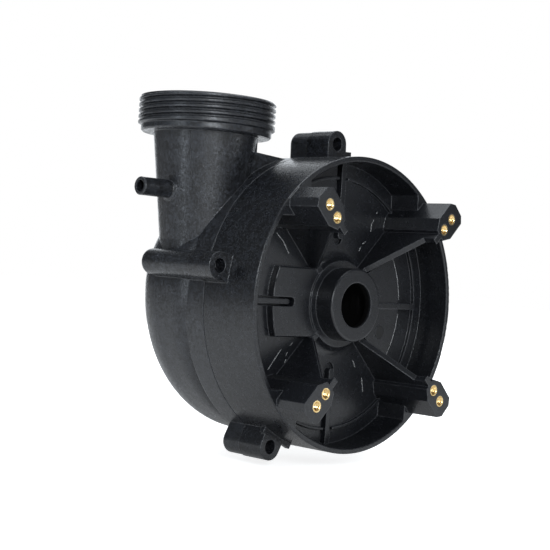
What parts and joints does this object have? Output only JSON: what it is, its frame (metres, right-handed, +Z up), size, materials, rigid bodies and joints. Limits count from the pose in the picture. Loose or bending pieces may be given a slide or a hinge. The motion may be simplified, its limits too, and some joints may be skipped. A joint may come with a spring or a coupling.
{
  "type": "volute pump casing",
  "caption": "Moulded casing of a small centrifugal pump: spiral volute with an upright threaded discharge neck and hose nipple, closed by a round ribbed motor bracket.",
  "frame": {"origin": "on the shaft axis in the front face of the hub", "axes": "+Z up along the discharge neck, the shaft along Y with the motor at -Y and the suction port at +Y, +X to the right seen from the motor"},
  "size_m": [0.1973, 0.1448, 0.1966],
  "materials": {
    "volute_plastic": "glass-filled, satin",
    "bracket_plastic": "glass-filled, satin",
    "insert_brass": "machined",
    "seal_rubber": "smooth",
    "screw_steel": "plain stainless"
  },
  "bodies": {
    "root": {"volute_casing": "volute_plastic", "motor_bracket": "bracket_plastic", "threaded_inserts": "insert_brass", "body_o_ring": "seal_rubber", "casing_screws": "screw_steel"}
  },
  "joints": []
}
